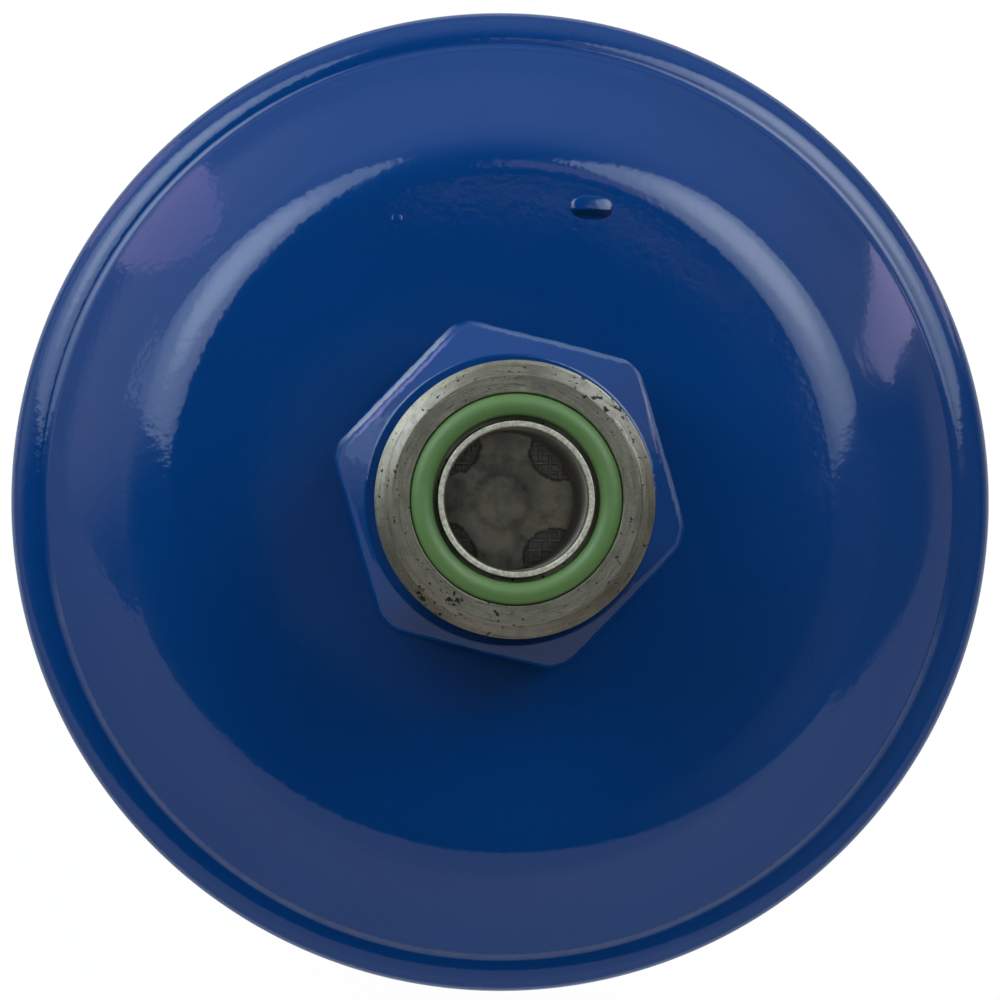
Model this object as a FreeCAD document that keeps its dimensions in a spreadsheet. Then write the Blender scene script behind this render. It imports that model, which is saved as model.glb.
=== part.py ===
import FreeCAD, Part
import enum
import math
import os

import Sketcher
from FreeCAD import Placement, Rotation, Vector

# Inline filter drier: a welded steel can with a threaded face-seal fitting at each end.
# Frame: millimetres, axis on Z, outlet end up, standing on the O-ring of its inlet fitting at z = 0.

# Driving sizes, in millimetres and degrees
SIZES = (
    ("tube_radius", 38.1, "outside of the shell tube"),
    ("tube_wall", 2.5, "wall of the shell tube"),
    ("tube_length", 95, "shell tube from cut edge to cut edge"),
    ("rim_rounding", 2.4, "outer edge of the tube's ends"),
    ("cap_wall", 2.0, "sheet of the end caps"),
    ("cap_play", 0.05, "between a cap's skirt and the tube, on the radius"),
    ("cap_insert", 8, "depth of a cap's skirt inside the tube"),
    ("crown_rise", 10.2, "flat of a cap above the tube's cut edge"),
    ("crown_inset", 16.1, "corner of flat and crown, inward from the skirt"),
    ("crown_rounding", 118, "blend of flat and crown"),
    ("knuckle_inset", 8.1, "corner of crown and flank, inward from the skirt"),
    ("knuckle_drop", 0.7, "that corner below the flat"),
    ("knuckle_rounding", 6.8, "blend of crown and flank"),
    ("flank_inset", 2.8, "bend of the flank, inward from the skirt"),
    ("flank_drop", 6.0, "that bend below the flat"),
    ("flank_rounding", 34, "blend of the flank's bend"),
    ("shoulder_drop", 0.65, "corner of flank and skirt below the tube's cut edge"),
    ("weld_dip", 0.15, "weld metal below the tube's cut edge, at the tube"),
    ("weld_climb", 0.15, "weld metal above the tube's cut edge, on the cap"),
    ("bore_radius", 5.25, "flow bore of a fitting"),
    ("bore_flare", 0.8, "chamfer at the inner end of the bore"),
    ("spigot_radius", 8, "spigot of a fitting, through its cap"),
    ("spigot_length", 3.5, "that spigot below the cap's outside"),
    ("spigot_play", 0.05, "between spigot and cap, on the radius"),
    ("braze_leg", 1.2, "leg of the brazed fillet round the spigot"),
    ("collar_radius", 11.6, "round collar under the hexagon"),
    ("collar_height", 1.5, "height of that collar"),
    ("hex_flats", 23.8, "hexagon across flats"),
    ("hex_height", 10.6, "height of the hexagon"),
    ("hex_face_radius", 10.95, "flat circle on the hexagon's faces, inside its bevel"),
    ("hex_corner_radius", 13.3, "turned corners of the hexagon"),
    ("hex_bevel_drop", 2.2, "height of the bevel at the corners"),
    ("hex_turn", 46, "direction of a corner of the outlet hexagon, in degrees"),
    ("nose_length", 12.8, "threaded nose, from hexagon to sealing face"),
    ("neck_radius", 9.3, "undercut behind the thread"),
    ("neck_length", 1.8, "length of that undercut"),
    ("thread_radius", 10.32, "crest of the thread"),
    ("face_radius", 9.2, "flat sealing face, inside the nose's chamfer"),
    ("nose_chamfer_drop", 1.1, "height of the nose's chamfer"),
    ("groove_inner_radius", 5.8, "lip between bore and O-ring groove"),
    ("groove_outer_radius", 7.87, "outer wall of the O-ring groove"),
    ("ring_section", 1.78, "O-ring cord"),
    ("ring_proud", 0.4, "O-ring above the sealing face"),
    ("ring_play", 0.02, "between O-ring and the groove's outer wall"),
    ("plate_wall", 0.8, "sheet of the two pressed plates"),
    ("plate_rise", 0.6, "perforated plate's top above the tube's cut edge"),
    ("plate_play", 0.3, "between a pressed plate and what surrounds it"),
    ("plate_rounding", 2.5, "outer corner of the pressed plates"),
    ("boss_radius", 1.9, "raised centre of the perforated plate"),
    ("boss_slope", 1.2, "width of the slope round that centre"),
    ("boss_height", 0.3, "height of that centre"),
    ("boss_bend", 0.8, "inside of the bends round that centre"),
    ("hole_radius", 2.25, "holes of the perforated plate"),
    ("inner_hole_circle", 6, "radius of the inner circle of holes"),
    ("middle_hole_circle", 14.5, "radius of the middle circle of holes"),
    ("outer_hole_circle", 23.5, "radius of the outer circle of holes"),
    ("hole_turn", 42, "direction of the first hole, in degrees"),
    ("screen_thickness", 0.6, "woven wire screen"),
    ("pad_thickness", 6, "outlet felt pad"),
    ("pad_play", 0.1, "between the outlet pad and the plate's wall"),
    ("core_length", 74, "moulded block"),
    ("core_draft", 0.5, "taper of the block, on the radius"),
    ("core_rounding", 2.5, "edges of the block"),
    ("core_play", 0.45, "between the block and the plates that hold its ends, on the radius"),
    ("cavity_radius", 8.5, "mouth of the block's blind cavity"),
    ("cavity_draft", 1.5, "taper of the cavity, on the radius"),
    ("cavity_depth", 50, "depth of the cavity"),
    ("cushion_thickness", 2.5, "inlet felt cushion"),
    ("grip_height", 5.2, "rim of the spring plate above its floor"),
    ("spring_hole_radius", 3.5, "flow holes of the spring plate"),
    ("spring_hole_circle", 15, "radius of their circle"),
    ("centre_hole_radius", 7, "centre hole of the spring plate"),
    ("wire_radius", 1.3, "spring wire"),
    ("spring_small_radius", 11.4, "coil on the cap, to the wire's middle"),
    ("spring_large_radius", 24, "coil on the spring plate, to the wire's middle"),
    ("flat_turns", 0.75, "turns that lie flat at each end of the spring"),
    ("rising_turns", 2.5, "turns between them"),
)

# A sketch's numbers for the points of a line, an arc or a circle, and for its own axes
Spot = enum.IntEnum("Spot", "START END CENTRE")
Axis = enum.IntEnum("Axis", "VERTICAL HORIZONTAL", start=-2)
ORIGIN = (Axis.HORIZONTAL, Spot.START)

# Radii that several pieces share
TUBE_BORE = "(dim.tube_radius - dim.tube_wall)"
SKIRT = f"({TUBE_BORE} - dim.cap_play)"
CAP_INSIDE = f"({SKIRT} - dim.cap_wall)"
HAT = f"({CAP_INSIDE} - dim.plate_play)"
PLATE_FLAT = f"({HAT} - dim.plate_rounding)"
CORE = f"({HAT} - dim.plate_wall - dim.core_play)"
GRIP_INSIDE = f"({CORE} - dim.core_draft + dim.core_play)"

# Heights above the middle of the tube
SEAM = "dim.tube_length / 2"
CROWN = f"{SEAM} + dim.crown_rise"
FACE = f"{CROWN} + dim.collar_height + dim.hex_height + dim.nose_length"
PLATE_TOP = f"{SEAM} + dim.plate_rise"
SCREEN_TOP = f"{PLATE_TOP} - dim.plate_wall"
PAD_TOP = f"{SCREEN_TOP} - dim.screen_thickness"
CORE_TOP = f"{PAD_TOP} - dim.pad_thickness"
CORE_FOOT = f"{CORE_TOP} - dim.core_length"
CUSHION_FOOT = f"{CORE_FOOT} - dim.cushion_thickness"
SPRING_TOP = f"{CUSHION_FOOT} - dim.plate_wall"
SPRING_HEIGHT = f"({SPRING_TOP} + {CROWN} - dim.cap_wall)"

# The tube's middle above the floor
MIDDLE = f"({FACE} + dim.ring_proud)"

doc = FreeCAD.newDocument("filter_drier")
dim = doc.addObject("Spreadsheet::Sheet", "dim")
for row, (alias, value, meaning) in enumerate(SIZES, start=1):
    dim.set(f"A{row}", meaning)
    dim.set(f"B{row}", str(value))
    dim.setAlias(f"B{row}", alias)
doc.recompute()


# Drawing

def size(expression):
    """The present value of an expression over the sheet."""
    return float(dim.evalExpression(expression))


def new_body(label):
    body = doc.addObject("PartDesign::Body", label)
    body.Label = label
    return body


def sketch_on(body, role, name, lift=None):
    """A sketch on one of the body's own origin planes, raised by the expression lift."""
    plane = next(part for part in body.Origin.OriginFeatures if part.Role == role)
    sketch = body.newObject("Sketcher::SketchObject", name)
    sketch.AttachmentSupport = [(plane, "")]
    sketch.MapMode = "FlatFace"
    if lift:
        sketch.setExpression("AttachmentOffset.Base.z", lift)
    return sketch


def bind(sketch, constraint, name, expression):
    """Add a dimension and tie it to the sheet."""
    index = sketch.addConstraint(constraint)
    sketch.renameConstraint(index, name)
    sketch.setExpression(f"Constraints.{name}", expression)


def bind_point(sketch, geometry, end, name, across, up):
    """Tie a point's place to two expressions, or to the axis that it lies on."""
    ways = (("DistanceX", "x", across, Axis.VERTICAL), ("DistanceY", "y", up, Axis.HORIZONTAL))
    for kind, letter, expression, axis in ways:
        value = size(expression)
        if abs(value) < 1e-9:
            sketch.addConstraint(Sketcher.Constraint("PointOnObject", geometry, end, axis))
        else:
            constraint = Sketcher.Constraint(kind, *ORIGIN, geometry, end, value)
            bind(sketch, constraint, f"{name}_{letter}", expression)


def outline(sketch, corners):
    """Closed outline through corners (across, up) or (across, up, rounding), all expressions."""
    count = len(corners)
    points = [Vector(size(corner[0]), size(corner[1]), 0) for corner in corners]
    radii = [size(corner[2]) if len(corner) > 2 else 0 for corner in corners]
    arrivals, departures, middles = [], [], []
    for index, point in enumerate(points):
        back = (points[index - 1] - point).normalize()
        ahead = (points[(index + 1) % count] - point).normalize()
        half_angle = back.getAngle(ahead) / 2
        reach = radii[index] / math.tan(half_angle)
        arrivals.append(point + back * reach)
        departures.append(point + ahead * reach)
        to_arc = radii[index] / math.sin(half_angle) - radii[index]
        middles.append(point + (back + ahead).normalize() * to_arc)

    runs = []
    for index in range(count):
        run = Part.LineSegment(departures[index], arrivals[(index + 1) % count])
        runs.append(sketch.addGeometry(run, False))

    for index, corner in enumerate(corners):
        before, after = runs[index - 1], runs[index]
        name = f"corner{index}"
        if radii[index] == 0:
            sketch.addConstraint(Sketcher.Constraint("Coincident", before, Spot.END, after, Spot.START))
            bind_point(sketch, after, Spot.START, name, corner[0], corner[1])
            continue
        arc = sketch.addGeometry(Part.Arc(arrivals[index], middles[index], departures[index]), False)
        forward = sketch.getPoint(arc, Spot.START).distanceToPoint(arrivals[index]) < 1e-6
        first, last = (Spot.START, Spot.END) if forward else (Spot.END, Spot.START)
        tip = sketch.addGeometry(Part.Point(points[index]), True)
        sketch.addConstraint([
            Sketcher.Constraint("Tangent", before, Spot.END, arc, first),
            Sketcher.Constraint("Tangent", arc, last, after, Spot.START),
            Sketcher.Constraint("PointOnObject", tip, Spot.START, before),
            Sketcher.Constraint("PointOnObject", tip, Spot.START, after),
        ])
        bind(sketch, Sketcher.Constraint("Radius", arc, radii[index]), f"{name}_rounding", corner[2])
        bind_point(sketch, tip, Spot.START, name, corner[0], corner[1])


def turn(body, name, corners, cut=False):
    """Turn an outline of radius and height round the body's Z axis, as material or as a cut."""
    sketch = sketch_on(body, "XZ_Plane", f"{name}_outline")
    outline(sketch, corners)
    feature = body.newObject("PartDesign::Groove" if cut else "PartDesign::Revolution", name)
    feature.Profile = sketch
    feature.ReferenceAxis = (sketch, ["V_Axis"])
    feature.Angle = 360
    return feature


def circle(sketch, centre, radius):
    """A circle with its centre on the sketch's horizontal axis."""
    ring = sketch.addGeometry(Part.Circle(Vector(size(centre), 0, 0), Vector(0, 0, 1), size(radius)), False)
    bind(sketch, Sketcher.Constraint("Radius", ring, size(radius)), "radius", radius)
    bind_point(sketch, ring, Spot.CENTRE, "centre", centre, "0")


def drill(body, name, centre, radius, copies):
    """Round holes through a pressed plate, evenly spaced on a circle of radius centre."""
    sketch = sketch_on(body, "XY_Plane", f"{name}_circle")
    circle(sketch, centre, radius)
    pocket = body.newObject("PartDesign::Pocket", name)
    pocket.Profile = sketch
    pocket.Type = "ThroughAll"
    pocket.Midplane = True
    if copies > 1:
        pattern = body.newObject("PartDesign::PolarPattern", f"{name}_pattern")
        pattern.Originals = [pocket]
        pattern.Axis = (sketch, ["N_Axis"])
        pattern.Angle = 360
        pattern.Occurrences = copies
        body.Tip = pattern


def hexagon(sketch, across_flats):
    """A regular hexagon round the origin, with a corner on the horizontal axis."""
    reach = f"{across_flats} / 2 / cos(30 deg)"
    corners = []
    for direction in range(0, 360, 60):
        angle = math.radians(direction)
        corners.append(Vector(math.cos(angle), math.sin(angle), 0) * size(reach))
    guide = sketch.addGeometry(Part.Circle(Vector(), Vector(0, 0, 1), size(reach)), True)
    sides = []
    for corner, following in zip(corners, corners[1:] + corners[:1]):
        sides.append(sketch.addGeometry(Part.LineSegment(corner, following), False))
    sketch.addConstraint(Sketcher.Constraint("Coincident", guide, Spot.CENTRE, *ORIGIN))
    for side, following in zip(sides, sides[1:] + sides[:1]):
        sketch.addConstraint([
            Sketcher.Constraint("Coincident", side, Spot.END, following, Spot.START),
            Sketcher.Constraint("PointOnObject", side, Spot.START, guide),
        ])
    for side in sides[1:]:
        sketch.addConstraint(Sketcher.Constraint("Equal", sides[0], side))
    sketch.addConstraint(Sketcher.Constraint("PointOnObject", sides[0], Spot.START, Axis.HORIZONTAL))
    bind(sketch, Sketcher.Constraint("Radius", guide, size(reach)), "reach", reach)


# Placing

def place(part, height, direction=None):
    """Set a sub-part upright on the axis, at a height above the tube's middle."""
    part.Placement = Placement(Vector(), Rotation(Vector(0, 0, 1), size(direction or "0")))
    part.setExpression("Placement.Base.z", f"{MIDDLE} + {height}")
    if direction:
        part.setExpression("Placement.Rotation.Angle", direction)


def place_end(part, end, height, direction=None):
    """Set a sub-part of the outlet end, or its mirror piece upside down at the inlet end."""
    if end == "outlet":
        place(part, height, direction)
        return
    part.Placement = Placement(Vector(), Rotation(Vector(1, 0, 0), 180))
    part.setExpression("Placement.Base.z", f"{MIDDLE} - ({height})")


# The can

def make_shell():
    body = new_body("shell")
    rounding = "min(dim.rim_rounding; 0.96 * dim.tube_wall)"
    turn(body, "tube", [
        (TUBE_BORE, "0"),
        ("dim.tube_radius", "0", rounding),
        ("dim.tube_radius", "dim.tube_length", rounding),
        (TUBE_BORE, "dim.tube_length"),
    ])
    place(body, f"-({SEAM})")


def make_end_cap(end):
    """Dished cap, drawn from sheet of one thickness, with a hole for the fitting's spigot."""
    body = new_body(f"{end}_end_cap")
    flat = "dim.cap_insert + dim.crown_rise"
    dome = turn(body, "dome", [
        ("0", "0"),
        (SKIRT, "0"),
        (SKIRT, "dim.cap_insert - dim.shoulder_drop"),
        (f"{SKIRT} - dim.flank_inset", f"{flat} - dim.flank_drop", "dim.flank_rounding"),
        (f"{SKIRT} - dim.knuckle_inset", f"{flat} - dim.knuckle_drop", "dim.knuckle_rounding"),
        (f"{SKIRT} - dim.crown_inset", flat, "dim.crown_rounding"),
        ("0", flat),
    ])
    doc.recompute()
    floor = min(range(len(dome.Shape.Faces)), key=lambda index: dome.Shape.Faces[index].CenterOfMass.z)
    hollow = body.newObject("PartDesign::Thickness", "hollow")
    hollow.Base = (dome, [f"Face{floor + 1}"])
    hollow.setExpression("Value", "dim.cap_wall")
    hollow.Mode = "Skin"
    hollow.Join = "Intersection"
    hollow.Reversed = True
    body.Tip = hollow
    drill(body, "spigot_hole", "0", "dim.spigot_radius + dim.spigot_play", 1)
    place_end(body, end, f"{SEAM} - dim.cap_insert")


def make_seam_weld(end):
    """Weld metal in the notch between the tube's edge and the cap's flank."""
    body = new_body(f"{end}_seam_weld")
    flank_height = "(dim.crown_rise - dim.flank_drop + dim.shoulder_drop)"
    climb = "(dim.shoulder_drop + dim.weld_climb)"
    turn(body, "bead", [
        (SKIRT, "0"),
        (TUBE_BORE, "0"),
        (TUBE_BORE, "dim.shoulder_drop - dim.weld_dip"),
        (f"{SKIRT} - {climb} * dim.flank_inset / {flank_height}", climb),
    ])
    place_end(body, end, f"{SEAM} - dim.shoulder_drop")


# The fittings

def make_fitting(end):
    """Hexagon with a spigot below and a threaded face-seal nose above, turned from one bar."""
    body = new_body(f"{end}_fitting")
    hex_foot = "dim.spigot_length + dim.collar_height"
    hex_top = f"{hex_foot} + dim.hex_height"
    face = f"{hex_top} + dim.nose_length"

    sketch = sketch_on(body, "XY_Plane", "hexagon_sketch", lift=hex_foot)
    hexagon(sketch, "dim.hex_flats")
    pad = body.newObject("PartDesign::Pad", "hexagon")
    pad.Profile = sketch
    pad.setExpression("Length", "dim.hex_height")

    clear = "dim.hex_flats"
    turn(body, "hexagon_bevels", [
        ("dim.hex_face_radius", hex_top),
        ("dim.hex_corner_radius", f"{hex_top} - dim.hex_bevel_drop"),
        ("dim.hex_corner_radius", f"{hex_foot} + dim.hex_bevel_drop"),
        ("dim.hex_face_radius", hex_foot),
        (clear, hex_foot),
        (clear, hex_top),
    ], cut=True)

    turn(body, "turned_core", [
        ("0", "0"),
        ("dim.spigot_radius", "0"),
        ("dim.spigot_radius", "dim.spigot_length"),
        ("dim.collar_radius", "dim.spigot_length"),
        ("dim.collar_radius", hex_foot),
        ("dim.neck_radius", hex_foot),
        ("dim.neck_radius", f"{hex_top} + dim.neck_length"),
        ("dim.thread_radius", f"{hex_top} + dim.neck_length"),
        ("dim.thread_radius", f"{face} - dim.nose_chamfer_drop"),
        ("dim.face_radius", face),
        ("0", face),
    ])

    turn(body, "flow_bore", [
        ("0", "0"),
        ("dim.bore_radius + dim.bore_flare", "0"),
        ("dim.bore_radius", "dim.bore_flare"),
        ("dim.bore_radius", face),
        ("0", face),
    ], cut=True)

    groove_floor = f"{face} + dim.ring_proud - dim.ring_section"
    turn(body, "ring_groove", [
        ("dim.groove_inner_radius", groove_floor),
        ("dim.groove_outer_radius", groove_floor),
        ("dim.groove_outer_radius", face),
        ("dim.groove_inner_radius", face),
    ], cut=True)
    place_end(body, end, f"{CROWN} - dim.spigot_length", "dim.hex_turn")


def make_o_ring(end):
    """Seal cord that fills the groove of the nose and stands a little proud of its face."""
    ring = doc.addObject("Part::Torus", f"{end}_o_ring")
    ring.Label = f"{end}_o_ring"
    cord_radius = "dim.ring_section / 2"
    ring.setExpression("Radius1", f"dim.groove_outer_radius - dim.ring_play - {cord_radius}")
    ring.setExpression("Radius2", cord_radius)
    place_end(ring, end, f"{FACE} + dim.ring_proud - {cord_radius}")


def make_braze_ring(end):
    """Copper fillet in the inner corner between the spigot and its cap."""
    body = new_body(f"{end}_braze_ring")
    turn(body, "fillet", [
        ("dim.spigot_radius", "0"),
        ("dim.spigot_radius + dim.braze_leg", "dim.braze_leg"),
        ("dim.spigot_radius", "dim.braze_leg"),
    ])
    place_end(body, end, f"{CROWN} - dim.cap_wall - dim.braze_leg")


# The filter stack at the outlet

def make_perforated_plate():
    """Pressed hat whose flange bears on the end of the cap's skirt, with a raised centre."""
    body = new_body("perforated_plate")
    top = "dim.cap_insert + dim.plate_wall + dim.plate_rise"
    raised = f"{top} + dim.boss_height"
    boss_foot = "dim.boss_radius + dim.boss_slope"
    outer_bend = "dim.boss_bend + dim.plate_wall"
    turn(body, "hat", [
        (f"{HAT} - dim.plate_wall", "0"),
        (f"{TUBE_BORE} - dim.plate_play", "0"),
        (f"{TUBE_BORE} - dim.plate_play", "dim.plate_wall"),
        (HAT, "dim.plate_wall"),
        (HAT, top, "dim.plate_rounding"),
        (boss_foot, top, "dim.boss_bend"),
        ("dim.boss_radius", raised, outer_bend),
        ("0", raised),
        ("0", f"{raised} - dim.plate_wall"),
        ("dim.boss_radius", f"{raised} - dim.plate_wall", "dim.boss_bend"),
        (boss_foot, f"{top} - dim.plate_wall", outer_bend),
        (f"{HAT} - dim.plate_wall", f"{top} - dim.plate_wall", "dim.plate_rounding - dim.plate_wall"),
    ])
    drill(body, "inner_holes", "dim.inner_hole_circle", "dim.hole_radius", 4)
    drill(body, "middle_holes", "dim.middle_hole_circle", "dim.hole_radius", 8)
    drill(body, "outer_holes", "dim.outer_hole_circle", "dim.hole_radius", 12)
    place(body, f"{SEAM} - dim.cap_insert - dim.plate_wall", "dim.hole_turn")


def make_wire_screen():
    body = new_body("outlet_wire_screen")
    turn(body, "disc", [
        ("0", "0"),
        (PLATE_FLAT, "0"),
        (PLATE_FLAT, "dim.screen_thickness"),
        ("0", "dim.screen_thickness"),
    ])
    place(body, PAD_TOP)


def make_filter_pad():
    """Felt pad inside the hat, its upper edge rounded to nest in the hat's corner."""
    body = new_body("outlet_filter_pad")
    edge = f"{HAT} - dim.plate_wall - dim.pad_play"
    turn(body, "felt", [
        ("0", "0"),
        (edge, "0"),
        (edge, "dim.pad_thickness", "dim.plate_rounding"),
        ("0", "dim.pad_thickness"),
    ])
    place(body, CORE_TOP)


# The core and what presses it to the outlet

def make_core():
    """Moulded block with drafted sides and a blind cavity open to the outlet."""
    body = new_body("desiccant_core")
    turn(body, "block", [
        ("0", "0"),
        (f"{CORE} - dim.core_draft", "0", "dim.core_rounding"),
        (CORE, "dim.core_length", "dim.core_rounding"),
        ("dim.cavity_radius", "dim.core_length"),
        ("dim.cavity_radius - dim.cavity_draft", "dim.core_length - dim.cavity_depth", "dim.core_rounding"),
        ("0", "dim.core_length - dim.cavity_depth"),
    ])
    place(body, CORE_FOOT)


def make_cushion_pad():
    body = new_body("inlet_cushion_pad")
    edge = f"{GRIP_INSIDE} + dim.plate_wall - dim.plate_rounding"
    turn(body, "felt", [
        ("0", "0"),
        (edge, "0"),
        (edge, "dim.cushion_thickness"),
        ("0", "dim.cushion_thickness"),
    ])
    place(body, CUSHION_FOOT)


def make_spring_plate():
    """Pressed cup that grips the core's inlet end and takes the spring on its floor."""
    body = new_body("spring_plate")
    outside = f"{GRIP_INSIDE} + dim.plate_wall"
    height = "dim.plate_wall + dim.grip_height"
    turn(body, "cup", [
        ("0", "0"),
        (outside, "0", "dim.plate_rounding"),
        (outside, height),
        (GRIP_INSIDE, height),
        (GRIP_INSIDE, "dim.plate_wall", "dim.plate_rounding - dim.plate_wall"),
        ("0", "dim.plate_wall"),
    ])
    drill(body, "centre_hole", "0", "dim.centre_hole_radius", 1)
    drill(body, "flow_holes", "dim.spring_hole_circle", "dim.spring_hole_radius", 6)
    place(body, SPRING_TOP)


def spring_point(turns, height):
    """The wire's middle after so many turns: flat, then rising and widening, then flat."""
    flat, rising = size("dim.flat_turns"), size("dim.rising_turns")
    share = min(max((turns - flat) / rising, 0), 1)
    small, large = size("dim.spring_small_radius"), size("dim.spring_large_radius")
    radius = small + (large - small) * share
    wire = size("dim.wire_radius")
    angle = 2 * math.pi * turns
    return Vector(radius * math.cos(angle), radius * math.sin(angle), wire + (height - 2 * wire) * share)


def make_spring():
    """Conical compression spring, between the cap's inside and the spring plate."""
    height = size(SPRING_HEIGHT)
    turns = 2 * size("dim.flat_turns") + size("dim.rising_turns")
    steps = math.ceil(turns * 8)
    arcs = []
    for step in range(steps):
        places = [turns * (step + part) / steps for part in (0, 0.5, 1)]
        arcs.append(Part.Arc(*[spring_point(place, height) for place in places]).toShape())
    start = arcs[0].valueAt(arcs[0].FirstParameter)
    section = Part.makeCircle(size("dim.wire_radius"), start, arcs[0].tangentAt(arcs[0].FirstParameter))
    spring = doc.addObject("Part::Feature", "core_spring")
    spring.Label = "core_spring"
    spring.Shape = Part.Wire(arcs).makePipeShell([Part.Wire([section])], True, True)
    place(spring, f"{SPRING_TOP} - {SPRING_HEIGHT}")


make_shell()
for side in ("outlet", "inlet"):
    make_end_cap(side)
    make_seam_weld(side)
    make_fitting(side)
    make_o_ring(side)
    make_braze_ring(side)
make_perforated_plate()
make_wire_screen()
make_filter_pad()
make_core()
make_cushion_pad()
make_spring_plate()
make_spring()
doc.recompute()

# Every object must have computed, and every sub-part must be one sound solid
for item in doc.Objects:
    if "Invalid" in item.State or "Error" in item.State:
        raise RuntimeError(f"{item.Label} did not compute: {item.State}")
SUB_PART_TYPES = ("PartDesign::Body", "Part::Torus", "Part::Feature")
sub_parts = [item for item in doc.Objects if item.TypeId in SUB_PART_TYPES]
for part in sub_parts:
    if part.Shape.isNull() or not part.Shape.isValid() or len(part.Shape.Solids) != 1:
        raise RuntimeError(f"{part.Label} is not one valid solid")

os.makedirs("parts", exist_ok=True)
for part in sub_parts:
    part.Shape.exportStep(f"parts/{part.Label}.step")
    box = part.Shape.BoundBox
    print(f"{part.Label:20s} volume {part.Shape.Volume:10.1f}  z {box.ZMin:8.3f} to {box.ZMax:8.3f}"
          f"  reach {box.XMax:7.3f}")
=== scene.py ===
import math

import bpy
import numpy as np
from mathutils import Matrix, Vector


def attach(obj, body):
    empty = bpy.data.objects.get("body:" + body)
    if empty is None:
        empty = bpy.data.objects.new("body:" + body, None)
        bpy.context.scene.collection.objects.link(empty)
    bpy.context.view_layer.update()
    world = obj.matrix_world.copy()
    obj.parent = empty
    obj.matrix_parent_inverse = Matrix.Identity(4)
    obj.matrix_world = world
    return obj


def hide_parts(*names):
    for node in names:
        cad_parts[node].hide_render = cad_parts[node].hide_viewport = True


# Looks of an inline filter drier. Lengths are millimetres until a mesh is made. The pieces of an
# end are drawn at the outlet, and for the inlet they are turned over about the drier's middle.

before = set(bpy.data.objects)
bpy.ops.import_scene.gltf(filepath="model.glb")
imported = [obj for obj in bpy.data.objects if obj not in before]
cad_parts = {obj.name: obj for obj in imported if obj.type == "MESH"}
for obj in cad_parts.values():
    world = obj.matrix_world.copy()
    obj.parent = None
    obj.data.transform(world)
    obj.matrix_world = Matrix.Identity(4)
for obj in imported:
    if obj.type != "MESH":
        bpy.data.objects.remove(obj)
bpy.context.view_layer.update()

MM = 0.001
TOP = 166.0

# The can
TUBE_RADIUS, TUBE_BORE, TUBE_TOP = 38.1, 35.6, 130.5
RIM_ROUNDING, RIM_START = 2.69, 35.8
SKIRT_RADIUS, CAP_WALL, SKIRT_FOOT, CROWN = 35.55, 2.0, 122.5, 140.7
SPIGOT_HOLE = 8.05

# The fitting, its hexagon with the paint. The outlet's hexagon stands off the axis by HEX_OFFSET
# and has a corner at HEX_TURN degrees.
SPIGOT_RADIUS, SPIGOT_FOOT, COLLAR_RADIUS = 8.0, 137.2, 11.6
HEX_FLATS, HEX_CORNER_RADIUS, HEX_FACE_RADIUS = 24.15, 13.5, 10.95
HEX_FOOT, HEX_TOP, HEX_BEVEL_SLOPE = 142.2, 152.8, 0.936
HEX_OFFSET, HEX_TURN = (0.0, 0.46), 46
BORE_RADIUS, FACE = 5.25, 165.6
THREAD_CREST, THREAD_CORE, THREAD_PITCH, THREAD_FOOT = 10.32, 9.34, 1.5875, 154.6
THREAD_START, NECK_RADIUS = 245, 9.3
FACE_RADIUS, NOSE_CHAMFER_DROP = 9.2, 1.1
GROOVE_OUTER, GROOVE_INNER, GROOVE_FLOOR = 7.87, 5.8, 164.22
RING_MIDDLE, RING_CORD = 7.0, 0.85
GAUZE_FOOT, GAUZE_THICKNESS, GAUZE_RADIUS = 129.7, 0.6, 30.75


# Profiles

def rounded(corners, pieces, spacing=None):
    """Points and outward normals along a closed profile through corners (r, z, rounding).

    Every arc gets the same number of points, so profiles of one kind match row by row. The left
    side of the direction of travel is material. With a spacing, straight runs get points too.
    """
    count = len(corners)
    points, normals = [], []
    places = [np.array(corner[:2], float) for corner in corners]
    for index, corner in enumerate(corners):
        here = places[index]
        back = places[index - 1] - here
        ahead = places[(index + 1) % count] - here
        back /= np.linalg.norm(back)
        ahead /= np.linalg.norm(ahead)
        half = math.acos(np.clip(back @ ahead, -1, 1)) / 2
        reach = corner[2] / math.tan(half)
        start, end = here + back * reach, here + ahead * reach
        middle = here + (back + ahead) / np.linalg.norm(back + ahead) * corner[2] / math.sin(half)
        spread = math.pi - 2 * half
        for step in range(pieces + 1):
            share = step / pieces
            weight_a = math.sin((1 - share) * spread) / math.sin(spread)
            weight_b = math.sin(share * spread) / math.sin(spread)
            spoke = (start - middle) * weight_a + (end - middle) * weight_b
            points.append(middle + spoke)
            along = -back * weight_a + ahead * weight_b
            normals.append(np.array([along[1], -along[0]]))
    if spacing:
        points, normals = filled(points, normals, pieces + 1, spacing)
    return np.array(points), np.array(normals)


def filled(points, normals, run, spacing):
    """Add points along the straight stretches between arcs of run points each."""
    new_points, new_normals = [], []
    count = len(points)
    for index in range(count):
        new_points.append(points[index])
        new_normals.append(normals[index])
        if index % run == run - 1:
            ahead = points[(index + 1) % count]
            steps = int(np.linalg.norm(ahead - points[index]) / spacing)
            for step in range(1, steps + 1):
                share = step / (steps + 1)
                new_points.append(points[index] * (1 - share) + ahead * share)
                new_normals.append(normals[index])
    return new_points, new_normals


# Meshes

def add_object(name, points, faces):
    """An object in the scene from points in metres."""
    mesh = bpy.data.meshes.new(name)
    mesh.from_pydata([tuple(point) for point in points], [], faces)
    made = bpy.data.objects.new(name, mesh)
    bpy.context.scene.collection.objects.link(made)
    return made


def add_piece(name, points, faces):
    """A smooth object in the scene from an array of points in millimetres."""
    made = add_object(name, (points.reshape(-1, 3) * MM).tolist(), faces)
    made.data.shade_smooth()
    return made


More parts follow.
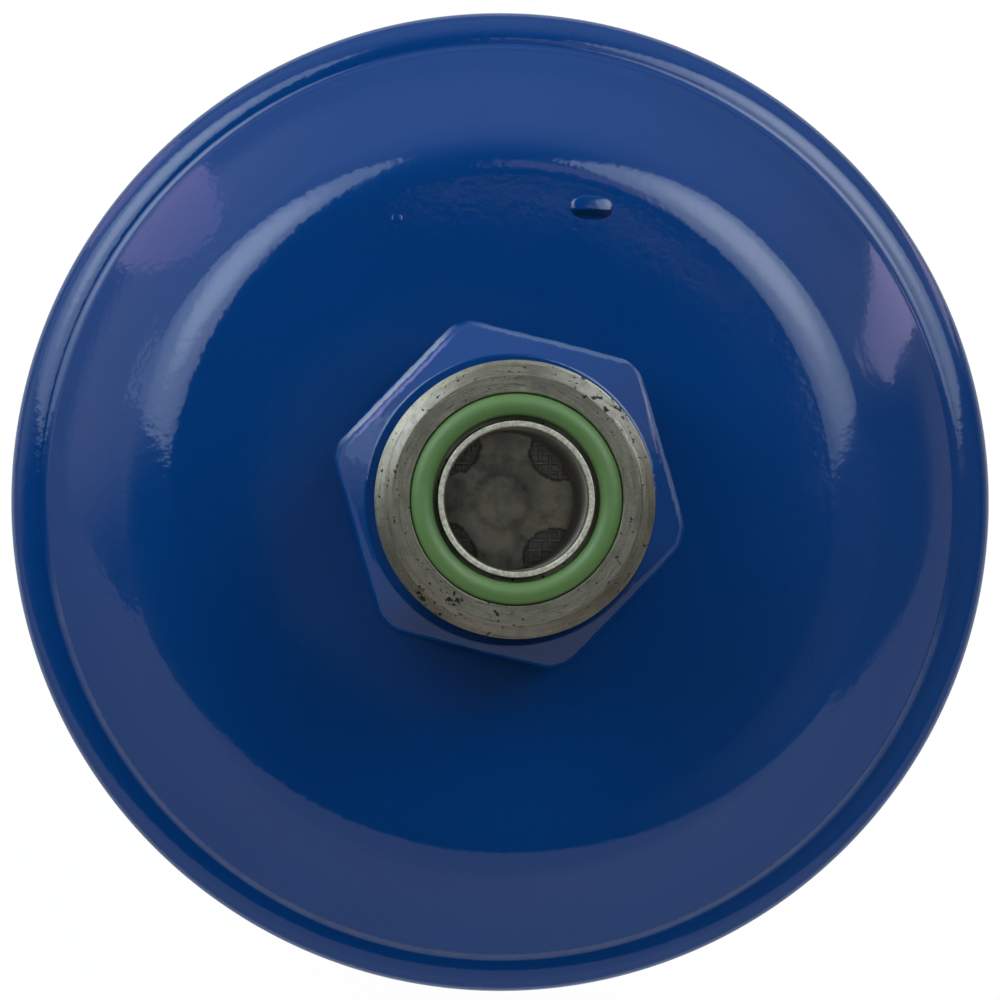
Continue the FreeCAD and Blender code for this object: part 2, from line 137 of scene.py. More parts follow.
def open_grid(rows, columns):
    """Faces of a grid of points, row by row."""
    index = np.arange(rows * columns).reshape(rows, columns)
    corners = [index[:-1, :-1], index[:-1, 1:], index[1:, 1:], index[1:, :-1]]
    return np.stack(corners, axis=-1).reshape(-1, 4)


def closed_skin(name, points, normals):
    """A closed skin from a grid of points: rows run round the profile, columns round the axis."""
    rows, columns = points.shape[:2]
    index = np.arange(rows * columns).reshape(rows, columns)
    below, right = np.roll(index, -1, 0), np.roll(index, -1, 1)
    across = np.roll(below, -1, 1)
    faces = np.stack([index, right, across, below], axis=-1).reshape(-1, 4)
    piece = add_piece(name, points, faces.tolist())
    piece.data.normals_split_custom_set_from_vertices(normals.reshape(-1, 3).tolist())
    return piece


def round_axis(name, points, normals, columns):
    """Turn a closed profile round the axis."""
    angle = np.arange(columns) * 2 * math.pi / columns
    cosine, sine = np.cos(angle), np.sin(angle)
    grids = []
    for pairs in (points, normals):
        out, up = pairs[:, :1], pairs[:, 1:]
        grids.append(np.stack([out * cosine, out * sine, up + 0 * cosine], axis=-1))
    return closed_skin(name, *grids)


def turned(name, corners, columns, pieces, spacing):
    """A piece turned round the axis from the corners of a closed profile."""
    points, normals = rounded(corners, pieces, spacing)
    return round_axis(name, points, normals, columns)


def turn_over(piece):
    """Turn a piece of the outlet end over, to the inlet end."""
    over = Matrix.Translation((0, 0, TOP * MM)) @ Matrix.Rotation(math.pi, 4, "X")
    piece.data.transform(over)
    return piece


def finish_piece(piece, material, slot, *nodes):
    """Give a piece its material, hang it on the root body and hide the CAD parts it stands for."""
    piece.data.materials.append(material)
    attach(piece, "root")
    if nodes:
        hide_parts(*nodes)


# The cap's upper outline, from the fitting outward
CAP_OUTLINE = [
    (SPIGOT_HOLE, CROWN, 0.1),
    (SKIRT_RADIUS - 16.1, CROWN, 118),
    (SKIRT_RADIUS - 8.1, CROWN - 0.7, 6.8),
    (SKIRT_RADIUS - 2.8, CROWN - 6.0, 34),
    (SKIRT_RADIUS, TUBE_TOP - 0.24, 0.1),
]


def make_cap(name):
    inside = [
        (SKIRT_RADIUS, SKIRT_FOOT, 0.3),
        (SKIRT_RADIUS - CAP_WALL, SKIRT_FOOT, 0.3),
        (SKIRT_RADIUS - CAP_WALL, TUBE_TOP - 1.2, 0.1),
        (SKIRT_RADIUS - 4.6, CROWN - 7.2, 30),
        (SKIRT_RADIUS - 9.0, CROWN - 2.7, 4.8),
        (SKIRT_RADIUS - 16.1, CROWN - CAP_WALL, 100),
        (SPIGOT_HOLE, CROWN - CAP_WALL, 0.1),
    ]
    outline = list(reversed(CAP_OUTLINE + inside))
    return turned(name, outline, columns=256, pieces=14, spacing=0.9)


def make_weld(name):
    """Hollow weld under paint in the notch between the cap's flank and the tube's rim."""
    foot, hollow = TUBE_TOP - 0.8, 1.016
    return turned(name, [
        (35.9, foot, 0.05),
        (35.9, TUBE_TOP - 0.049, 0.005),
        (35.376, TUBE_TOP + 0.039, hollow),
        (34.72, TUBE_TOP + 1.072, 0.02),
        (34.4, foot, 0.05),
    ], columns=360, pieces=12, spacing=0.4)


def make_tube(name):
    """Tube with both ends rounded; the profile of its upper half is drawn and mirrored."""
    first = math.asin(1 - (TUBE_RADIUS - RIM_START) / RIM_ROUNDING)
    turn = np.linspace(math.pi / 2, first, 32)
    rim_normals = np.stack([np.sin(turn), np.cos(turn)], axis=-1)
    rim = (TUBE_RADIUS - RIM_ROUNDING, TUBE_TOP - RIM_ROUNDING) + RIM_ROUNDING * rim_normals
    start = TOP / 2 + 1
    heights = np.arange(start, TUBE_TOP - RIM_ROUNDING - 0.5, 2)
    wall = np.array([(TUBE_RADIUS, height) for height in heights])
    bore = np.array([(TUBE_BORE, TUBE_TOP - 0.5), (TUBE_BORE, start)])
    upper = np.concatenate([wall, rim, bore])
    normals = np.concatenate([np.tile((1.0, 0.0), (len(wall), 1)), rim_normals,
                              np.tile((-1.0, 0.0), (len(bore), 1))])
    lower = upper[::-1] * (1, -1) + (0, TOP)
    return round_axis(name, np.concatenate([upper, lower]),
                      np.concatenate([normals, normals[::-1] * (1, -1)]), 360)


def soft_minimum(first, second, blend):
    """The smaller of two values, rounded where they differ by less than blend."""
    near = max(blend - abs(first - second), 0) / blend
    return min(first, second) - near * near * blend / 4


def hex_radius(angle, corner, offset):
    """Distance from the axis to the side of a hexagon that stands off the axis by offset.

    Its corners are softened, and thick paint makes its sides a little wavy.
    """
    along = offset[0] * math.cos(angle) + offset[1] * math.sin(angle)
    side = math.inf
    for index in range(6):
        facing = corner + math.radians(30 + 60 * index)
        slant = math.cos(angle - facing)
        if slant > 0.3:  # not a side that faces elsewhere
            shift = offset[0] * math.cos(facing) + offset[1] * math.sin(facing)
            side = min(side, (HEX_FLATS / 2 + shift) / slant)
    away = offset[0] ** 2 + offset[1] ** 2
    turned_corner = along + math.sqrt(HEX_CORNER_RADIUS ** 2 - away + along ** 2)
    softened = soft_minimum(side, turned_corner, 0.2)
    return softened + 0.024 * math.sin(11 * angle + 0.7) + 0.012 * math.sin(29 * angle + 2)


def fitting_outline(reach):
    """Profile of the fitting, whose hexagon's side stands at reach in this direction."""
    drop = (reach - HEX_FACE_RADIUS) * HEX_BEVEL_SLOPE
    edge = 2.3 * min(max(reach - 11.1, 0.2) / 0.8, 1)
    collar = min(COLLAR_RADIUS, reach - 0.25)
    return [
        (BORE_RADIUS, SPIGOT_FOOT + 0.8, 0.1),
        (BORE_RADIUS + 0.8, SPIGOT_FOOT, 0.1),
        (SPIGOT_RADIUS, SPIGOT_FOOT, 0.2),
        (SPIGOT_RADIUS, CROWN - 0.15, 0.05),
        (collar + 0.35, CROWN - 0.1, 0.05),
        (collar, CROWN + 0.25, 0.25),
        (collar, HEX_FOOT + 0.1, 0.1),
        (reach, HEX_FOOT + 0.1 + drop / 2, 0.3),
        (reach, HEX_TOP - drop, edge),
        (HEX_FACE_RADIUS, HEX_TOP, 0.4),
        (NECK_RADIUS, HEX_TOP, 0.3),
        (THREAD_CORE, FACE - 0.14, 0.04),
        (FACE_RADIUS, FACE, 0.05),
        (GROOVE_OUTER, FACE, 0.08),
        (GROOVE_OUTER, GROOVE_FLOOR, 0.12),
        (GROOVE_INNER, GROOVE_FLOOR, 0.12),
        (GROOVE_INNER, FACE, 0.1),
        (BORE_RADIUS + 0.16, FACE, 0.12),
        (BORE_RADIUS, FACE - 0.3, 0.1),
    ]


def make_fitting(name, corner, offset):
    """Hexagon, nose and bore in one skin, lofted from one profile for each direction."""
    columns = 504
    grid, tangents = [], []
    for column in range(columns):
        angle = corner + column * 2 * math.pi / columns
        outline = fitting_outline(hex_radius(angle, corner, offset))
        points, normals = rounded(outline, 5)
        along = np.stack([-normals[:, 1], normals[:, 0]], axis=-1)
        for pairs, stack in ((points, grid), (along, tangents)):
            out, up = pairs[:, 0], pairs[:, 1]
            stack.append(np.stack([out * math.cos(angle), out * math.sin(angle), up], axis=-1))
    points = np.stack(grid, axis=1)
    along = np.stack(tangents, axis=1)
    around = np.roll(points, -1, 1) - np.roll(points, 1, 1)
    normals = np.cross(around, along)
    normals /= np.linalg.norm(normals, axis=-1, keepdims=True)
    return closed_skin(name, points, normals)


def make_thread(name, start):
    """Helical ridge of the nose's thread, cut back to the chamfer above and to the neck below.

    Its section is (place along the axis in pitches, radius), from the core up to the crest.
    """
    half_crest, half_foot = 0.0625, 0.0625 + 0.353
    section = [(-half_foot - 0.03, THREAD_CORE - 0.1)]
    flank_steps = 6
    for step in range(flank_steps + 1):
        share = step / flank_steps
        section.append((-half_foot + (half_foot - half_crest) * share,
                        THREAD_CORE + (THREAD_CREST - THREAD_CORE) * share))
    section += [(-place, radius) for place, radius in reversed(section)]
    per_turn, turns, neck_slope = 144, 8, 1.2
    columns = per_turn * turns
    points = np.zeros((len(section), columns, 3))
    for column in range(columns):
        angle = start + 2 * math.pi * column / per_turn
        height = THREAD_FOOT - THREAD_PITCH + THREAD_PITCH * column / per_turn
        for row, (place, radius) in enumerate(section):
            z = min(height + place * THREAD_PITCH, FACE - 0.12)
            top_cone = FACE_RADIUS + (FACE - z) * (THREAD_CREST - FACE_RADIUS) / NOSE_CHAMFER_DROP
            foot_cone = NECK_RADIUS + (z - THREAD_FOOT) * neck_slope
            reach = max(min(radius, top_cone, foot_cone), THREAD_CORE - 0.3)
            points[row, column] = (reach * math.cos(angle), reach * math.sin(angle), z)
    piece = add_piece(name, points, open_grid(len(section), columns).tolist())
    piece.data.set_sharp_from_angle(angle=math.radians(32))
    return piece


def make_ring(name):
    """O-ring; its highest line lies in the plane of the drier's end."""
    turn = np.arange(36)[::-1] * 2 * math.pi / 36
    normals = np.stack([np.cos(turn), -np.sin(turn)], axis=-1)
    points = np.array([RING_MIDDLE, TOP - RING_CORD]) + RING_CORD * normals
    return round_axis(name, points, normals, 288)


def make_drop(name, azimuth, radius, spin, half_sizes, height):
    """A raised drop of paint on the outlet's crown, its edge sunk a hair into the crown.

    Its outline is a superellipse, and its ridge lies a little to the front of its middle.
    """
    outline, _ = rounded(CAP_OUTLINE, 14)
    steps = np.linspace(-1.12, 1.12, 57)
    long, short = np.meshgrid(steps, steps)
    spot = (np.abs(long) ** 2.5 + np.abs(short) ** 2.5) ** 0.4
    share = np.clip(1 - spot ** 2, 0, 1)
    a, turn = math.radians(azimuth), math.radians(spin)
    along, across = long * half_sizes[0], short * half_sizes[1]
    x = radius * math.cos(a) + along * math.cos(turn) - across * math.sin(turn)
    y = radius * math.sin(a) + along * math.sin(turn) + across * math.cos(turn)
    crown = np.interp(np.hypot(x, y), outline[:, 0], outline[:, 1])
    from_ridge = short + 0.1
    ridge = np.where(from_ridge > 0, 1 - 0.45 * from_ridge, 1 + 0.9 * from_ridge)
    top = crown - 0.008 + height * ridge * share ** 0.5
    points = np.stack([x, y, top], axis=-1)
    faces = open_grid(*points.shape[:2])
    inside = spot.reshape(-1)[faces].min(axis=1) < 1.1
    return add_piece(name, points, faces[inside].tolist())


def make_gauze(name):
    """Plain weave of round wires cut to a disc, each wire passing over and under the next ones.

    A wire has four sides and two stations to a pitch.
    """
    pitch, sides, steps = 0.75, 4, 2
    middle = GAUZE_FOOT + GAUZE_THICKNESS / 2
    wire = GAUZE_THICKNESS / 4 - 0.005
    points, faces = [], []
    count = int(GAUZE_RADIUS / pitch)
    for lane in range(-count, count + 1):
        across = lane * pitch
        half = math.sqrt(max(GAUZE_RADIUS ** 2 - (abs(across) + wire) ** 2, 0))
        if half < pitch:
            continue
        first_step, last_step = math.ceil(-half / pitch * steps), math.floor(half / pitch * steps)
        stations = np.arange(first_step, last_step + 1) / steps
        for along_x in (True, False):
            phase = lane + (0 if along_x else 1)
            first = len(points)
            for station in stations:
                along = station * pitch
                lift = wire * math.cos(math.pi * (station + phase))
                for side in range(sides):
                    turn = 2 * math.pi * side / sides
                    wide = across + wire * math.cos(turn)
                    up = middle + lift + wire * math.sin(turn)
                    points.append((along, wide, up) if along_x else (wide, along, up))
            for station in range(len(stations) - 1):
                for side in range(sides):
                    here, there = first + station * sides, first + (station + 1) * sides
                    after = (side + 1) % sides
                    ring = (here + side, there + side, there + after, here + after)
                    faces.append(ring if not along_x else ring[::-1])
            last = first + (len(stations) - 1) * sides
            for start, turned_round in ((first, along_x), (last, not along_x)):
                end = tuple(start + side for side in range(sides))
                faces.append(end[::-1] if turned_round else end)
    return add_piece(name, np.array(points), faces)


# Materials. Their distances are in metres, as a shader measures them.

DEEP_BLUE = (0.0005, 0.0268, 0.117, 1)
BLUE = (0.0007, 0.0296, 0.127, 1)
PALE_BLUE = (0.0012, 0.0320, 0.137, 1)
# Painted shade on the front slope of the paint run
RUN_FRONT_SHADE = (0.001, 0.006, 0.018, 1)
# Painted shade on the front of the hexagons' paint
HEX_FRONT_SHADE = (0.001, 0.009, 0.032, 1)
# A pale grey for the groove round the cap, on its front side
PALE_GROOVE_GREY = (0.36, 0.35, 0.35, 1)
# Painted highlight along the hexagon's edges, and a painted violet sheen just inside one
EDGE_HIGHLIGHT = (0.36, 0.42, 0.46, 1)
VIOLET_EDGE_SHEEN = (0.42, 0.40, 0.75, 1)
DARK_STEEL, BRIGHT_STEEL = (0.132, 0.126, 0.092, 1), (0.45, 0.43, 0.314, 1)
STAINED_STEEL = (0.14, 0.13, 0.10, 1)
STEEL_GRAIN = (0.08, 0.075, 0.058, 1)
STEEL_ARCS = (0.06, 0.054, 0.042, 1)
# A darker, browner tone of the steel toward the front
FRONT_BROWN_TONE = (0.10, 0.092, 0.062, 1)
# Painted highlight on the chamfer round the nose's face
CHAMFER_HIGHLIGHT = (0.68, 0.67, 0.60, 1)
PIT = (0.035, 0.030, 0.022, 1)
DULL_LIP, BRIGHT_LIP = (0.255, 0.247, 0.182, 1), (0.52, 0.505, 0.385, 1)
CLEAN_BORE, OILY_BORE = (0.46, 0.43, 0.37, 1), (0.33, 0.31, 0.265, 1)
DARK_SEAL, LIGHT_SEAL = (0.060, 0.126, 0.032, 1), (0.075, 0.145, 0.042, 1)
DARK_PLATE, LIGHT_PLATE = (0.37, 0.365, 0.31, 1), (0.56, 0.55, 0.475, 1)
BROWN_STAIN, BLACK_STAIN = (0.60, 0.56, 0.40, 1), (0.10, 0.095, 0.09, 1)
# Painted shade along the edges of the plate's holes and boss
HOLE_EDGE_SHADE = (0.05, 0.05, 0.05, 1)


def node(tree, kind, inputs=None, **settings):
    made = tree.nodes.new(kind)
    for key, value in settings.items():
        setattr(made, key, value)
    for key, value in (inputs or {}).items():
        feed(tree, value, made.inputs[key])
    return made


def feed(tree, value, socket):
    """Link a socket to a value that is another node's output, or else set it."""
    if isinstance(value, bpy.types.NodeSocket):
        tree.links.new(value, socket)
    else:
        socket.default_value = value


def calc(tree, operation, *values):
    return node(tree, "ShaderNodeMath", dict(enumerate(values)), operation=operation).outputs[0]


def times(tree, product, *values):
    for value in values:
        product = calc(tree, "MULTIPLY", product, value)
    return product


def largest(tree, top, *values):
    for value in values:
        top = calc(tree, "MAXIMUM", top, value)
    return top


def between(tree, value, low, high, to_low=0.0, to_high=1.0):
    """Ease value from low to high into to_low to to_high."""
    made = node(tree, "ShaderNodeMapRange", {
        "Value": value, "From Min": low, "From Max": high, "To Min": to_low, "To Max": to_high,
    }, interpolation_type="SMOOTHSTEP")
    return made.outputs[0]


def blend_colours(tree, share, first, second):
    made = node(tree, "ShaderNodeMix", data_type="RGBA")
    colours = [socket for socket in made.inputs if socket.type == "RGBA"]
    feed(tree, share, made.inputs[0])
    feed(tree, first, colours[0])
    feed(tree, second, colours[1])
    return next(socket for socket in made.outputs if socket.type == "RGBA")


def layered(tree, colour, *layers):
    """Lay colours over a first one, each given as its share and itself."""
    for share, above in layers:
        colour = blend_colours(tree, share, colour, above)
    return colour


def noise(tree, place, scale, detail=2.0, roughness=0.5):
    made = node(tree, "ShaderNodeTexNoise", {
        "Vector": place, "Scale": scale, "Detail": detail, "Roughness": roughness,
    })
    return made.outputs["Fac"]


def wander(tree, place, width, *fineness):
    """A length of up to half of width to either side of 0, which makes an edge ragged."""
    return times(tree, calc(tree, "SUBTRACT", noise(tree, place, *fineness), 0.5), width)


def start_material(name):
    material = bpy.data.materials.new(name)
    material.use_nodes = True
    tree = material.node_tree
    shader = tree.nodes["Principled BSDF"]
    place = node(tree, "ShaderNodeTexCoord").outputs["Object"]
    return material, tree, shader, place


def set_relief(tree, shader, height, depth):
    relief = node(tree, "ShaderNodeBump", {"Height": height, "Distance": depth})
    feed(tree, relief.outputs[0], shader.inputs["Normal"])


def coordinate(tree, place, index):
    return node(tree, "ShaderNodeSeparateXYZ", {0: place}).outputs[index]


def axis_places(tree, place):
    """Radius, direction and distance from the drier's middle of a shaded point."""
    x, y, z = node(tree, "ShaderNodeSeparateXYZ", {0: place}).outputs
    radius = calc(tree, "SQRT", calc(tree, "ADD", times(tree, x, x), times(tree, y, y)))
    direction = calc(tree, "ARCTAN2", y, x)
    from_middle = calc(tree, "ABSOLUTE", calc(tree, "SUBTRACT", z, TOP / 2 * MM))
    return radius, direction, from_middle


def folded_turn(tree, direction, azimuth, count):
    """Angle from the nearest of count spokes that start at an azimuth in degrees."""
    turn = calc(tree, "SUBTRACT", direction, math.radians(azimuth))
    return calc(tree, "WRAP", turn, math.pi / count, -math.pi / count)


def near_turn(tree, direction, azimuth, reach):
    """1 at an azimuth in degrees, easing to 0 at reach degrees to either side."""
    away = calc(tree, "ABSOLUTE", folded_turn(tree, direction, azimuth, 1))
    return between(tree, away, math.radians(reach), 0.0)


def paint_colour(tree, place):
    cloud = between(tree, noise(tree, place, 60, 3), 0.35, 0.65)
    grain = between(tree, noise(tree, place, 6000, 1), 0.3, 0.7)
    return layered(tree, DEEP_BLUE, (cloud, BLUE), (grain, PALE_BLUE))


def paint_peel(tree, place, peel):
    """Normal of the paint's orange peel, stronger to the left of the outlet's middle."""
    side = between(tree, coordinate(tree, place, 0), 0.016, -0.016, 0.55, 1.0)
    ripples = node(tree, "ShaderNodeBump", {
        "Height": noise(tree, place, 1500, 1), "Distance": 0.000016,
        "Strength": times(tree, side, peel),
    })
    fine = node(tree, "ShaderNodeBump", {
        "Height": noise(tree, place, 5200, 1), "Distance": 0.0000011,
        "Strength": peel, "Normal": ripples.outputs[0],
    })
    return fine.outputs[0]


def make_paint(name, low, high, peel, pale_groove=0.0, run_shade=0.0):
    """Glossy paint of a roughness from low to high.

    A pale grey lies in the groove round the outlet's cap, on the side to the front, and painted
    shade on the front side of the paint run on the outlet's crown.
    """
    material, tree, shader, place = start_material(name)
    colour = paint_colour(tree, place)
    # Painted shade: a dark band on the front slope of the paint run
    if run_shade:
        across = calc(tree, "ADD", coordinate(tree, place, 1), wander(tree, place, 0.0004, 2600, 3))
        share = times(tree, between(tree, across, 0.02246, 0.02222, 0.0, run_shade),
                      between(tree, across, 0.02150, 0.02190, 0.35, 1.0))
        colour = blend_colours(tree, share, colour, RUN_FRONT_SHADE)
    # A pale grey line in the groove round the cap, on its front side
    if pale_groove:
        radius, direction, _ = axis_places(tree, place)
        inner = between(tree, radius, 0.03498, 0.03522)
        outer = between(tree, radius, 0.03568, 0.03545)
        front = between(tree, near_turn(tree, direction, 267, 88), 0.0, 0.08)
        uneven = between(tree, noise(tree, place, 500, 3), 0.2, 0.7, 0.6 * pale_groove, pale_groove)
        colour = blend_colours(tree, times(tree, inner, outer, front, uneven), colour, PALE_GROOVE_GREY)
    feed(tree, colour, shader.inputs["Base Color"])
    rough = between(tree, noise(tree, place, 300, 3), 0.3, 0.7, low, high)
    feed(tree, rough, shader.inputs["Roughness"])
    feed(tree, paint_peel(tree, place, peel), shader.inputs["Normal"])
    return material


def fitting_paint(tree, place):
    """Paint of the outlet's hexagon: painted highlights along three of its edges, painted shade to
    the front.
    """
    offset = tuple(value * MM for value in HEX_OFFSET) + (0,)
    shifted = node(tree, "ShaderNodeVectorMath", {0: place, 1: offset}, operation="SUBTRACT")
    radius, direction, _ = axis_places(tree, shifted.outputs[0])
    upper = between(tree, coordinate(tree, place, 2), 0.148, 0.1485)
    out = times(tree, radius, calc(tree, "COSINE", folded_turn(tree, direction, 76, 6)))
    out = calc(tree, "ADD", out, wander(tree, place, 0.00045, 1300, 4, 0.65))
    # Painted highlight along three of the hexagon's edges, with a painted violet sheen just inside
    # the strongest one
    edge = times(tree, between(tree, out, 0.01158, 0.01176), between(tree, out, 0.01206, 0.01194))
    inner = times(tree, between(tree, out, 0.01122, 0.01132), between(tree, out, 0.01156, 0.01142))
    strong = between(tree, near_turn(tree, direction, 136, 33), 0.0, 0.35)
    weak = largest(tree, near_turn(tree, direction, 16, 33), near_turn(tree, direction, 70, 42))
    weak = between(tree, weak, 0.0, 0.35, 0.0, 0.15)
    edge_highlight = times(tree, largest(tree, times(tree, strong, 0.44), weak), edge, upper)
    violet_sheen = times(tree, times(tree, strong, inner), times(tree, upper, 0.19))
    # Painted shade on the hexagon's front side
    front = between(tree, near_turn(tree, direction, 280, 80), 0.0, 0.5, 0.0, 0.66)
    return layered(tree, paint_colour(tree, place),
                   (front, HEX_FRONT_SHADE), (violet_sheen, VIOLET_EDGE_SHEEN), (edge_highlight, EDGE_HIGHLIGHT))


def turned_noise(tree, places, reach, *fineness):
    """Noise drawn out into arcs round the axis, longer ones for a smaller reach."""
    radius, direction, from_middle = places
    place = node(tree, "ShaderNodeCombineXYZ", {
        0: radius, 1: from_middle, 2: times(tree, direction, reach),
    })
    return noise(tree, place.outputs[0], *fineness)


def chamfer_highlight_share(tree, place, places):
    """Share of painted highlight on the chamfer round the nose's face: streaky, in three patches.
    """
    radius, direction, from_middle = places
    patches = [times(tree, near_turn(tree, direction, azimuth, reach), share)
               for azimuth, reach, share in ((143, 40, 0.34), (52, 40, 0.40), (256, 50, 0.17))]
    foot = (FACE - TOP / 2 - 1.2) * MM
    on_chamfer = times(tree, between(tree, radius, 0.00915, 0.00935),
                       between(tree, from_middle, foot, foot + 0.0001))
    streaks = between(tree, noise(tree, place, 1500, 3, 0.6), 0.3, 0.65, 0.55, 1.3)
    return times(tree, largest(tree, *patches), on_chamfer, streaks)


def steel_colour(tree, place, places, marks, stain):
    """Turned steel with stains, dark arcs, a browner front, a painted chamfer highlight, and pits.
    """
    radius, direction, _ = places
    grain = between(tree, noise(tree, place, 5200, 3, 0.7), 0.25, 0.75, 0.0, 0.32)
    arcs = between(tree, turned_noise(tree, places, 0.0009, 8200, 3, 0.6), 0.57, 0.70, 0.0, 0.65)
    # A darker, browner tone toward the front
    front_tone = between(tree, near_turn(tree, direction, 262, 110), 0.0, 0.5, 0.0, 0.14)
    nicks = times(tree, near_turn(tree, direction, 42, 26), between(tree, radius, 0.0088, 0.0094))
    pitted = times(tree, near_turn(tree, direction, 232, 20), between(tree, radius, 0.0079, 0.0083))
    more = times(tree, largest(tree, nicks, pitted), 0.085)
    speckle = calc(tree, "ADD", noise(tree, place, 2200, 2, 0.55), more)
    return layered(tree, DARK_STEEL, (marks, BRIGHT_STEEL), (stain, STAINED_STEEL),
                   (grain, STEEL_GRAIN), (arcs, STEEL_ARCS), (front_tone, FRONT_BROWN_TONE),
                   # Painted highlight on the chamfer
                   (chamfer_highlight_share(tree, place, places), CHAMFER_HIGHLIGHT),
                   (between(tree, speckle, 0.655, 0.70), PIT))


def make_fitting_material():
    """Blue paint up to the neck, and bare turned steel above it and inside."""
    material, tree, shader, place = start_material("painted_steel")
    places = axis_places(tree, place)
    radius, _, from_middle = places
    edge = calc(tree, "ADD", from_middle, wander(tree, place, 0.0012, 900, 3))
    outside = between(tree, radius, 0.0078, 0.0079)
    paint_end = (HEX_TOP - TOP / 2 + 1.2) * MM
    bare = largest(tree, between(tree, edge, paint_end, paint_end + 0.00008),
                   calc(tree, "SUBTRACT", 1.0, outside))
    marks = turned_noise(tree, places, 0.0003, 12000, 3, 0.6)
    stain = between(tree, noise(tree, place, 420, 4, 0.6), 0.42, 0.72, 0.0, 0.55)

    face = FACE - TOP / 2
    from_lip = calc(tree, "ABSOLUTE", calc(tree, "SUBTRACT", radius, 0.00557))
    on_lip = times(tree, between(tree, from_lip, 0.00024, 0.00019),
                   between(tree, from_middle, (face - 0.2) * MM, (face - 0.1) * MM))
    scuffs = between(tree, noise(tree, place, 4200, 3, 0.7), 0.3, 0.7)
    in_bore = times(tree, between(tree, radius, 0.0054, 0.00535),
                    between(tree, from_middle, (face - 0.2) * MM, (face - 0.7) * MM))
    metal = layered(tree, steel_colour(tree, place, places, marks, stain),
                    (on_lip, blend_colours(tree, scuffs, DULL_LIP, BRIGHT_LIP)),
                    (in_bore, blend_colours(tree, stain, CLEAN_BORE, OILY_BORE)))
    colour = blend_colours(tree, bare, fitting_paint(tree, place), metal)
    feed(tree, colour, shader.inputs["Base Color"])
    gleam = between(tree, largest(tree, on_lip, in_bore), 0.0, 1.0, 0.9, 0.3)
    feed(tree, times(tree, bare, gleam), shader.inputs["Metallic"])
    rough_steel = between(tree, marks, 0.2, 0.8, 0.38, 0.50)
    rough = node(tree, "ShaderNodeMix", {0: bare, 2: 0.1, 3: rough_steel})
    feed(tree, rough.outputs[0], shader.inputs["Roughness"])
    turned_marks = node(tree, "ShaderNodeBump", {
        "Height": marks, "Distance": 0.000006, "Strength": bare,
    })
    normal = node(tree, "ShaderNodeBump", {
        "Height": noise(tree, place, 1100, 2), "Distance": 0.00004,
        "Strength": calc(tree, "SUBTRACT", 1.0, bare), "Normal": turned_marks.outputs[0],
    })
    feed(tree, normal.outputs[0], shader.inputs["Normal"])
    return material


def make_seal():
    material, tree, shader, place = start_material("green_seal")
    colour = blend_colours(tree, noise(tree, place, 700, 3), DARK_SEAL, LIGHT_SEAL)
    feed(tree, colour, shader.inputs["Base Color"])
    rough = between(tree, noise(tree, place, 3000, 2), 0.3, 0.7, 0.42, 0.55)
    feed(tree, rough, shader.inputs["Roughness"])
    set_relief(tree, shader, noise(tree, place, 5000, 2), 0.000004)
    return material


def make_metal(name, dark, light, rough, scale, depth, metallic=1.0):
    """A metal whose colour, gloss and surface vary at one scale."""
    material, tree, shader, place = start_material(name)
    patches = between(tree, noise(tree, place, scale, 4, 0.6), 0.32, 0.68)
    grain = noise(tree, place, scale * 9, 3, 0.6)
    feed(tree, blend_colours(tree, patches, dark, light), shader.inputs["Base Color"])
    shader.inputs["Metallic"].default_value = metallic
    uneven = between(tree, grain, 0.3, 0.7, rough - 0.06, rough + 0.08)
    feed(tree, uneven, shader.inputs["Roughness"])
    set_relief(tree, shader, grain, depth)
    return material


def make_plate():
    """Dull pressed sheet, stained, with painted shade along the ragged edges of its inner holes and
    boss.
    """
    material, tree, shader, place = start_material("pressed_plate")
    radius, direction, _ = axis_places(tree, place)
    patches = between(tree, noise(tree, place, 330, 3, 0.6), 0.35, 0.65)
    brown = between(tree, noise(tree, place, 360, 2), 0.50, 0.64, 0.0, 0.8)
    black = between(tree, noise(tree, place, 600, 4, 0.65), 0.48, 0.68, 0.0, 0.5)
    turn = folded_turn(tree, direction, 42, 4)
    across = times(tree, radius, calc(tree, "SINE", turn))
    out = calc(tree, "SUBTRACT", times(tree, radius, calc(tree, "COSINE", turn)), 0.006)
    square = calc(tree, "ADD", times(tree, across, across), times(tree, out, out))
    ragged = wander(tree, place, 0.0009, 1400, 3)
    from_hole = calc(tree, "ADD", calc(tree, "SQRT", square), ragged)
    from_boss = calc(tree, "SUBTRACT", calc(tree, "ADD", radius, ragged), 0.0021)
    # Painted shade along the ragged edges of the holes and round the boss
    edge_shade = largest(tree, between(tree, from_hole, 0.00256, 0.00232, 0.0, 0.8),
                   between(tree, calc(tree, "ABSOLUTE", from_boss), 0.0006, 0.0, 0.0, 0.28))
    colour = layered(tree, DARK_PLATE, (patches, LIGHT_PLATE), (brown, BROWN_STAIN),
                     (black, BLACK_STAIN), (edge_shade, HOLE_EDGE_SHADE))
    feed(tree, colour, shader.inputs["Base Color"])
    shader.inputs["Metallic"].default_value = 0.25
    grain = noise(tree, place, 3600, 3, 0.6)
    feed(tree, between(tree, grain, 0.3, 0.7, 0.5, 0.65), shader.inputs["Roughness"])
    set_relief(tree, shader, grain, 0.00001)
    return material


def make_matte(name, dark, light, scale, depth):
    """A dry fibrous or granular surface."""
    material, tree, shader, place = start_material(name)
    grain = noise(tree, place, scale, 5, 0.65)
    colour = blend_colours(tree, between(tree, grain, 0.3, 0.7), dark, light)
    feed(tree, colour, shader.inputs["Base Color"])
    feed(tree, between(tree, grain, 0.3, 0.7, 0.95, 0.8), shader.inputs["Roughness"])
    set_relief(tree, shader, grain, depth)
    return material


# Pieces
paint = make_paint("blue_paint", 0.075, 0.12, peel=1.0)
